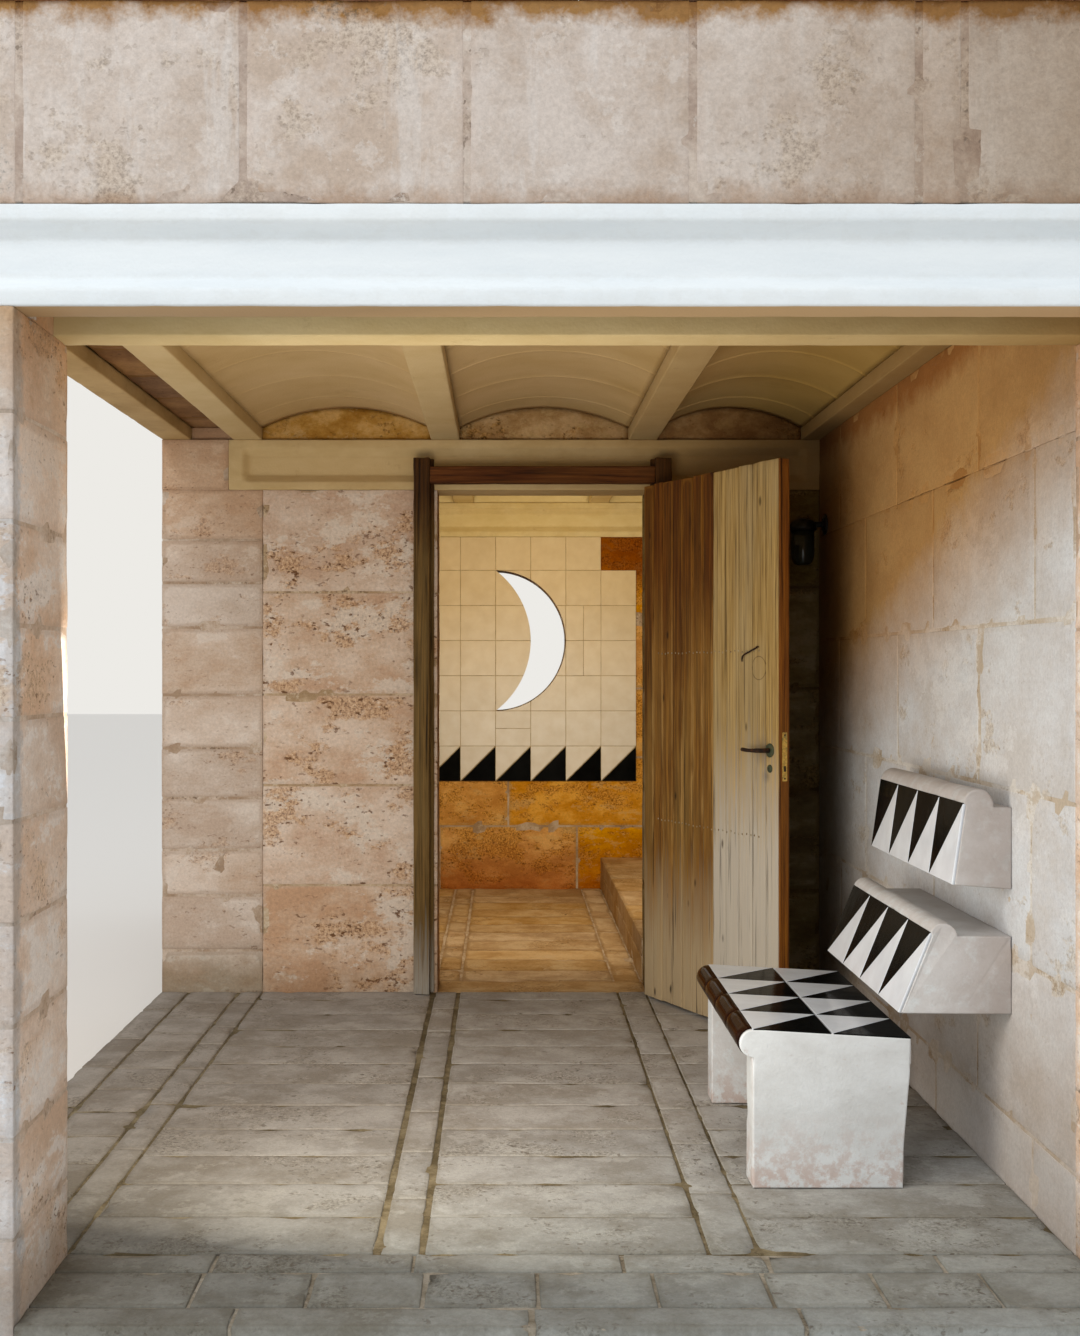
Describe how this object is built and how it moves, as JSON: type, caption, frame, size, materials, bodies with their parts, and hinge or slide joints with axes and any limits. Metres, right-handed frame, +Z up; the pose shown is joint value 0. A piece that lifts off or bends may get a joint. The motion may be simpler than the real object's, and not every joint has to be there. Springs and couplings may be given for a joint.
{
  "type": "moon gate entrance porch",
  "caption": "Sandstone entrance porch with a vaulted ceiling, plank door, built-in tiled bench and a vestibule whose tiled wall has a crescent moon opening.",
  "frame": {"origin": "middle of the footprint, at ground level", "axes": "+Y into the building, from the porch front to the moon wall, +X to the bench side, +Z up"},
  "size_m": [3.025, 5.93, 2.765],
  "materials": {
    "sandstone": "sawn, weathered",
    "brown_sandstone": "sawn, sheltered",
    "floor_stone": "worn",
    "white_painted_concrete": "painted white",
    "limewashed_concrete": "limewashed",
    "limewashed_vault": "limewashed",
    "roof_screed": "floated",
    "white_plaster": "troweled lime plaster",
    "terracotta": "unglazed",
    "ivory_tile": "glazed",
    "brown_glazed_tile": "glazed",
    "frame_wood": "weathered",
    "weathered_pine": "weathered",
    "forged_iron": "rusted",
    "tarnished_brass": "tarnished",
    "lamp_metal": "dark paint",
    "lamp_glass": "clear, dusty"
  },
  "bodies": {
    "porch": {"threshold_course": "floor_stone", "porch_floor": "floor_stone", "vestibule_floor": "floor_stone", "front_left_pillar": "sandstone", "front_right_pillar": "sandstone", "back_left_pillar": "sandstone", "right_wall": "sandstone", "vestibule_left_wall": "sandstone", "door_wall_left": "sandstone", "door_wall_right": "sandstone", "moon_wall": "brown_sandstone", "moon_tile_panel": "ivory_tile", "front_lintel": "white_painted_concrete", "inner_lintel": "limewashed_concrete", "door_lintels": "limewashed_concrete", "moon_lintels": "limewashed_concrete", "left_edge_joist": "limewashed_concrete", "porch_joists": "limewashed_concrete", "vestibule_joists": "limewashed_concrete", "porch_vault_1": "limewashed_vault", "porch_vault_2": "limewashed_vault", "porch_vault_3": "limewashed_vault", "vestibule_vaults": "limewashed_vault", "edge_infill": "brown_sandstone", "tympana": "brown_sandstone", "roof_slab": "roof_screed", "front_parapet": "sandstone", "front_coping": "terracotta", "roof_kerb": "sandstone", "door_post_left": "frame_wood", "door_post_right": "frame_wood", "door_head": "frame_wood", "hinge_pins": "forged_iron", "bench_supports": "white_plaster", "bench_seat": "white_plaster", "bench_nose": "brown_glazed_tile", "bench_back_lower": "white_plaster", "bench_back_upper": "white_plaster", "vestibule_ledge": "brown_sandstone", "lamp_bracket": "lamp_metal", "lamp_glass": "lamp_glass"},
    "leaf": {"door_leaf": "weathered_pine", "door_ledges": "weathered_pine", "hinge_knuckles": "forged_iron", "door_lock": "tarnished_brass"},
    "handle": {"door_handles": "tarnished_brass"}
  },
  "joints": [
    {"name": "door_swing", "type": "hinge", "parent": "porch", "child": "leaf", "pos_m": [0.443, -0.05, 1.15], "axis": [0, 0, 1], "range_deg": [-116, 13]},
    {"name": "handle_turn", "type": "hinge", "parent": "leaf", "child": "handle", "pos_m": [0.7744, -0.8002, 1.15], "axis": [-0.8988, -0.4384, 0], "range_deg": [0, 40], "stiffness_Nm_per_rad": 1, "springref_deg": -28.65}
  ]
}
